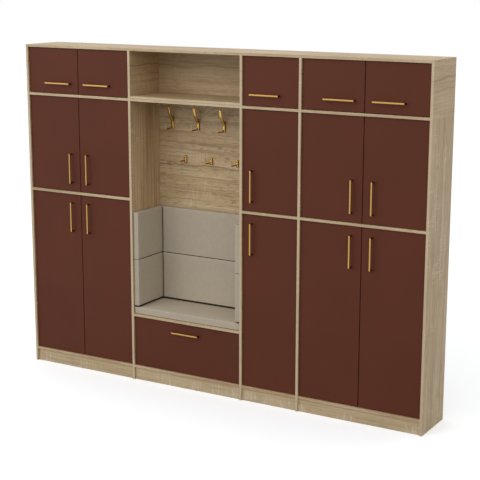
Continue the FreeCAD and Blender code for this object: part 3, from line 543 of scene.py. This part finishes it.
handleMaster = makeHandle()
uprightTurn = Matrix.Rotation(math.pi / 2, 4, "Y")
screwBack = Matrix.Rotation(math.pi, 4, "Z")
pulls = [(name, "drawer" if name == "drawer_handle" else name[len("handle_"):]) for name in sorted(nodes)
         if name.startswith("handle_") or name == "drawer_handle"]
for name, body in pulls:
    low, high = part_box(name)
    middle = (low + high) / 2
    level = high.x - low.x > high.z - low.z
    turn = noTurn if level else uprightTurn
    shown = copyPiece(handleMaster, name.replace("handle", "brassHandle"), turn, (middle.x, high.y, middle.z))
    shown.data.materials.append(brass)
    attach(shown, body)
    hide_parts(name)
    front = nodes["drawer_front"] if body == "drawer" else nodes["door_" + body]
    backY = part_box(front.name)[1].y
    reachEnd = handleLook["length"] / 2 - handleLook["bar"] / 2
    heads = []
    for end in (-1, 1):
        step = Vector((end * reachEnd, 0, 0)) if level else Vector((0, 0, end * reachEnd))
        heads.append(copyPiece(screwMaster, name.replace("handle", "handleScrews"), screwBack,
                               (middle.x + step.x, backY, middle.z + step.z)))
    joinPieces(heads[0], heads[1:])
    heads[0].data.materials.append(zinc)
    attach(heads[0], body)
bpy.data.objects.remove(handleMaster)
print("handles made:", len(pulls))


# coat hooks: a stout rounded plate with a bent round rod, and on the double ones a flat arm above it
hookLook = {
    "middle": -0.202, "pitch": 0.198, "plateWide": 0.020, "plateDeep": 0.012, "plateRound": 0.007,
    "plateCrown": 0.0062, "rod": 0.004, "turnUp": 0.038, "bend": 0.009,
    "doubleLow": 1.662, "doubleTall": 0.057, "doubleReach": 0.090, "doubleRise": 0.005,
    "doubleScrews": (0.013, 0.043),
    "singleLow": 1.441, "singleTall": 0.048, "singleReach": 0.082, "singleRise": 0.017,
    "singleScrews": (0.007, 0.036),
    "armWide": 0.018, "armThick": 0.0082, "armRoot": 0.013, "armDrop": 0.006, "armBend": 0.060,
    "armKnee": (0.044, 0.045), "armTip": (0.057, 0.093), "armEnd": 0.42, "armEdge": 0.0030,
    "domeTall": 0.8, "domeRings": 4, "domeStep": 21,        # of the rod's radius, count, degrees
}


def makePlate(tall):
    deep = hookLook["plateDeep"]
    plate = addBlock((hookLook["plateWide"], deep, tall), (0, -deep / 2, tall / 2))
    openShape(plate)
    pickOnly(plate, "EDGE", lambda edge: abs(edge.verts[0].co.y - edge.verts[1].co.y) > 0.001)
    bpy.ops.mesh.bevel(offset=hookLook["plateRound"], segments=6, affect="EDGES")
    pickOnly(plate, "FACE", lambda face: face.normal.y < -0.9)
    bpy.ops.mesh.bevel(offset=hookLook["plateCrown"], segments=6, affect="EDGES")
    closeShape()
    bpy.ops.object.shade_smooth_by_angle(angle=smoothAngle)
    return plate


# round rod out of the plate, bent up by spin, with a domed tip
def makeRod(level, straight, bend, angle, rise):
    rod, half = hookLook["rod"], hookLook["plateDeep"] / 2
    bpy.ops.object.select_all(action="DESELECT")
    bpy.ops.mesh.primitive_circle_add(vertices=20, radius=rod, fill_type="NGON", location=(0, -half, level),
                                      rotation=(math.pi / 2, 0, 0))
    prong = bpy.context.object
    bpy.ops.object.transform_apply(location=True, rotation=True, scale=True)
    openShape(prong)
    bpy.ops.mesh.select_mode(type="FACE")
    bpy.ops.mesh.select_all(action="SELECT")
    bpy.ops.mesh.extrude_region_move(TRANSFORM_OT_translate={"value": (0, half - straight, 0)})
    bpy.ops.mesh.spin(steps=8, angle=angle, center=(0, -straight, level + bend), axis=(1, 0, 0))
    along = Vector((0, -math.cos(angle), math.sin(angle)))
    dome, step = rod * hookLook["domeTall"], hookLook["domeStep"]
    bpy.ops.mesh.extrude_region_move(TRANSFORM_OT_translate={"value": along * (rise - dome)})
    for ring in range(1, hookLook["domeRings"] + 1):
        now, last = math.radians(ring * step), math.radians((ring - 1) * step)
        bpy.ops.mesh.extrude_region_move(
            TRANSFORM_OT_translate={"value": along * dome * (math.sin(now) - math.sin(last))})
        ratio = math.cos(now) / math.cos(last)
        bpy.ops.transform.resize(value=(ratio, ratio, ratio))
    cleanSpin()
    closeShape()
    bpy.ops.object.shade_smooth_by_angle(angle=smoothAngle)
    return prong


# flat arm: leans out of the top of the plate, then turns up; its end is rounded
def makeArm(tall):
    half = hookLook["plateDeep"] / 2
    root = Vector((0, -half, tall - hookLook["armDrop"]))
    knee = Vector((0, -hookLook["armKnee"][0], tall + hookLook["armKnee"][1]))
    tip = Vector((0, -hookLook["armTip"][0], tall + hookLook["armTip"][1]))
    lean, rise = (knee - root).normalized(), (tip - knee).normalized()
    turn = lean.angle(rise)
    setBack = hookLook["armBend"] * math.tan(turn / 2)
    firstRun = (knee - root).length - setBack
    slope = math.atan2(lean.z, -lean.y)
    bpy.ops.object.select_all(action="DESELECT")
    bpy.ops.mesh.primitive_cube_add(size=1, location=root + lean * (firstRun / 2), rotation=(-slope, 0, 0))
    arm = bpy.context.object
    arm.scale = (hookLook["armWide"], firstRun, hookLook["armThick"])
    bpy.ops.object.transform_apply(location=True, rotation=True, scale=True)
    openShape(arm)
    pickOnly(arm, "FACE", lambda face: face.normal.dot(lean) < -0.9)     # stouter where it leaves the plate
    stout = hookLook["armRoot"] / hookLook["armThick"]
    bpy.ops.transform.resize(value=(1, stout, stout))
    pickOnly(arm, "FACE", lambda face: face.normal.dot(lean) > 0.9)
    centre = root + lean * firstRun + Vector((0, lean.z, -lean.y)) * hookLook["armBend"]
    bpy.ops.mesh.spin(steps=5, angle=turn, center=centre, axis=(1, 0, 0))
    bpy.ops.mesh.extrude_region_move(TRANSFORM_OT_translate={"value": rise * ((tip - knee).length - setBack)})
    cleanSpin()
    pickOnly(arm, "EDGE", lambda edge: abs(edge.verts[0].co.x - edge.verts[1].co.x) < 1e-5
              and all((v.co - tip).length < hookLook["armWide"] * 0.6 for v in edge.verts))
    bpy.ops.mesh.bevel(offset=hookLook["armWide"] * hookLook["armEnd"], segments=5, affect="EDGES")
    closeShape()
    softenEdges(arm, hookLook["armEdge"], 4, 40)
    return arm


def makeHook(tall, reach, rise, screws, upper):
    plate = makePlate(tall)
    rod, bend = hookLook["rod"], hookLook["bend"]
    parts = [makeRod(rise, reach - rod - bend, bend, math.pi / 2, hookLook["turnUp"] - rod - bend)]
    if upper:
        parts.append(makeArm(tall))
    joinPieces(plate, parts)
    plate.data.materials.append(hookBrass)
    plate.data.materials.append(blackSteel)
    heads = []
    for level in screws:
        heads.append(copyPiece(screwMaster, "hookScrew", noTurn, (0, -hookLook["plateDeep"], level)))
        heads[-1].data.materials.append(hookBrass)
        heads[-1].data.materials.append(blackSteel)
        for face in heads[-1].data.polygons:
            face.material_index = 1
    joinPieces(plate, heads)
    return plate


doubleMaster = makeHook(hookLook["doubleTall"], hookLook["doubleReach"], hookLook["doubleRise"],
                        hookLook["doubleScrews"], True)
singleMaster = makeHook(hookLook["singleTall"], hookLook["singleReach"], hookLook["singleRise"],
                        hookLook["singleScrews"], False)
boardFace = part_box("hook_board")[0].y
hookRows = ((doubleMaster, "doubleHook", "double_hooks", hookLook["doubleLow"], (-1.5, -0.5, 0.5, 1.5)),
            (singleMaster, "singleHook", "single_hooks", hookLook["singleLow"], (-1, 0, 1)))
for master, label, node, low, steps in hookRows:
    for count, step in enumerate(steps, 1):
        hook = copyPiece(master, f"{label}{count}", noTurn,
                         (hookLook["middle"] + step * hookLook["pitch"], boardFace, low))
        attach(hook, "carcass")
        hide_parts(node)
    bpy.data.objects.remove(master)
print("hooks made")


# cushions: foam slabs in sewn covers, swelled by cloth pressure from a slightly smaller slab
padLook = {"voxel": 0.006, "pressure": 4.0, "cap": 0.0045, "frames": 20, "quality": 5, "smaller": 0.002,
           "edge": 0.004, "drawIn": 0.001, "drawPower": 7, "gap": 0.002, "roundIn": 0.009, "roundOut": 0.004,
           "reachIn": 0.020}


# distance from a side of a pad, with the rounding of the edges drawn tighter
def tighter(depth):
    wide, narrow, reach = padLook["roundIn"], padLook["roundOut"], padLook["reachIn"]
    if depth < wide:
        return depth * narrow / wide
    if depth < reach:
        return narrow + (depth - wide) * (reach - narrow) / (reach - wide)
    return depth


# one pad lying flat at the origin, its resting side down on z = 0
def makePad(name, wide, deep, thick):
    less = padLook["smaller"]
    pad = addBlock((wide - 2 * less, deep - 2 * less, thick - 2 * less), (0, 0, thick / 2))
    pad.name = name
    openShape(pad)
    bpy.ops.mesh.select_all(action="SELECT")
    bpy.ops.mesh.bevel(offset=padLook["edge"], segments=3, affect="EDGES")
    closeShape()
    pad.data.remesh_voxel_size = padLook["voxel"]
    bpy.ops.object.voxel_remesh()
    before = [v.co.copy() for v in pad.data.vertices]
    swell = pad.modifiers.new("swell", "CLOTH")
    swell.settings.use_pressure = True
    swell.settings.uniform_pressure_force = padLook["pressure"]
    swell.settings.effector_weights.gravity = 0
    swell.settings.quality = padLook["quality"]
    swell.point_cache.frame_start = 1
    swell.point_cache.frame_end = padLook["frames"]
    for step in range(1, padLook["frames"] + 1):
        bpy.context.scene.frame_set(step)
    bpy.ops.object.modifier_apply(modifier=swell.name)
    bpy.context.scene.frame_set(1)
    for vertex, start in zip(pad.data.vertices, before):
        move = vertex.co - start
        if move.length > padLook["cap"]:
            vertex.co = start + move * (padLook["cap"] / move.length)
        vertex.co.z = max(vertex.co.z, less)
    # the sewn sides pull in between the corners
    halfWide, halfDeep = wide / 2, deep / 2
    for vertex in pad.data.vertices:
        u, v = vertex.co.x / halfWide, vertex.co.y / halfDeep
        vertex.co.x -= padLook["drawIn"] * u * abs(u) ** padLook["drawPower"] * (1 - min(1, v * v))
        vertex.co.y -= padLook["drawIn"] * v * abs(v) ** padLook["drawPower"] * (1 - min(1, u * u))
    # fitted to the room the pad has
    spots = [v.co for v in pad.data.vertices]
    low = Vector([min(s[i] for s in spots) for i in range(3)])
    high = Vector([max(s[i] for s in spots) for i in range(3)])
    target = Vector((wide, deep, thick))
    for vertex in pad.data.vertices:
        for i in range(3):
            offset = ((vertex.co[i] - low[i]) / (high[i] - low[i]) - 0.5) * target[i]
            offset = math.copysign(target[i] / 2 - tighter(target[i] / 2 - abs(offset)), offset)
            vertex.co[i] = offset + (target[i] / 2 if i == 2 else 0)
    smoother = pad.modifiers.new("finer", "SUBSURF")
    smoother.levels = 1
    smoother.render_levels = 1
    bpy.ops.object.modifier_apply(modifier=smoother.name)
    bpy.ops.object.shade_smooth()
    pad.data.materials.append(cloth)
    return pad


seatLow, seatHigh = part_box("seat_cushion")
backLow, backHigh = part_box("back_cushions")
sideLow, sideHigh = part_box("side_cushions_left")
rightLow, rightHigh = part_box("side_cushions_right")
padTall = (backHigh.z - backLow.z - padLook["gap"]) / 2
seatSize = seatHigh - seatLow
seatMaster = makePad("seatPad", seatSize.x, seatSize.y, seatSize.z)
backMaster = makePad("backPad", backHigh.x - backLow.x, padTall, backHigh.y - backLow.y)
sideMaster = makePad("sidePad", sideHigh.y - sideLow.y, padTall, sideHigh.x - sideLow.x)
standUp = Matrix.Rotation(math.pi / 2, 4, "X")
halfTurn = Matrix.Rotation(math.pi, 4, "Z")
leftTurn = Matrix.Rotation(math.pi / 2, 4, "Z") @ standUp
rightTurn = Matrix.Rotation(-math.pi / 2, 4, "Z") @ standUp
seatMiddle = (seatLow + seatHigh) / 2
padPlaces = [(seatMaster, "seatCushion", "seat_cushion", noTurn, (seatMiddle.x, seatMiddle.y, seatLow.z))]
sideY = (sideLow.y + sideHigh.y) / 2
padRows = (("Lower", noTurn, padTall / 2), ("Upper", halfTurn, padTall * 1.5 + padLook["gap"]))
for label, spin, rise in padRows:
    padPlaces.append((backMaster, "backCushion" + label, "back_cushions", standUp @ spin,
                      ((backLow.x + backHigh.x) / 2, backHigh.y, backLow.z + rise)))
    padPlaces.append((sideMaster, "leftCushion" + label, "side_cushions_left", leftTurn @ spin,
                      (sideLow.x, sideY, sideLow.z + rise)))
    padPlaces.append((sideMaster, "rightCushion" + label, "side_cushions_right", rightTurn @ spin,
                      (rightHigh.x, sideY, rightLow.z + rise)))
for master, label, node, turn, place in padPlaces:
    cushion = copyPiece(master, label, turn, place)
    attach(cushion, "carcass")
    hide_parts(node)
for master in (seatMaster, backMaster, sideMaster):
    bpy.data.objects.remove(master)
bpy.data.objects.remove(screwMaster)
print("cushions made:", len(padPlaces))


# floor, lamps and white surroundings
roomLook = {        # lamps: place, size, watts
    "sky": 0.84, "paper": "#7c7c7c", "seenPaper": "#f2f4f6", "lift": 0.30,
    "lamps": [((-1.6, -5.4, 5.0), 4.0, 86), ((-4.2, -4.6, 3.2), 3.0, 42), ((4.5, -3.5, 4.5), 3.0, 27)],
    "aim": (0, 0, 1.1), "floorWide": 60, "floorDrop": 0.0005,
}


# rays that see the surroundings as white: from the camera, off metal and through glass
def seenRays(tree):
    rays = addNode(tree, "LightPath").outputs
    seen = addNode(tree, "Math", {"operation": "MAXIMUM"},
                   {0: rays["Is Camera Ray"], 1: rays["Is Glossy Ray"]})
    return addNode(tree, "Math", {"operation": "MAXIMUM"}, {0: seen, 1: rays["Is Transmission Ray"]})


bpy.ops.object.select_all(action="DESELECT")
bpy.ops.mesh.primitive_plane_add(size=roomLook["floorWide"], location=(0, 0, -roomLook["floorDrop"]))
floor = bpy.context.object
floor.name = "studioFloor"
bpy.ops.object.transform_apply(location=True, rotation=True, scale=True)
openShape(floor)
bpy.ops.mesh.subdivide(number_cuts=3)
closeShape()
paper, tree = newFinish("whitePaper")
anySeen = seenRays(tree)
lift = addNode(tree, "Math", {"operation": "MULTIPLY", 1: roomLook["lift"]}, {0: anySeen})
sheet = addNode(tree, "MixRGB", {"Color1": linearColour(roomLook["paper"]),
                "Color2": linearColour(roomLook["seenPaper"])}, {"Fac": anySeen})
matt = addNode(tree, "BsdfDiffuse", None, {"Color": sheet})
glow = addNode(tree, "Emission", {"Color": (1, 1, 1, 1)}, {"Strength": lift})
blend = addNode(tree, "AddShader", None, {0: matt, 1: glow})
addNode(tree, "OutputMaterial", None, {"Surface": blend})
floor.data.materials.append(paper)

for place, size, watts in roomLook["lamps"]:
    bpy.ops.object.light_add(type="AREA", location=place)
    lamp = bpy.context.object
    lamp.name = "softLamp"
    lamp.data.size = size
    lamp.data.energy = watts
    lamp.rotation_euler = (Vector(roomLook["aim"]) - Vector(place)).to_track_quat("-Z", "Y").to_euler()

world = bpy.data.worlds.new("whiteStudio")
bpy.context.scene.world = world
world.use_nodes = True
tree = world.node_tree
tree.nodes.clear()
anySeen = seenRays(tree)
sky = addNode(tree, "Background", {"Color": (1, 1, 1, 1), "Strength": roomLook["sky"]})
white = addNode(tree, "Background", {"Color": (1, 1, 1, 1), "Strength": 1.0})
blend = addNode(tree, "MixShader", None, {"Fac": anySeen, 1: sky, 2: white})
addNode(tree, "OutputWorld", None, {"Surface": blend})
print("floor and light set")
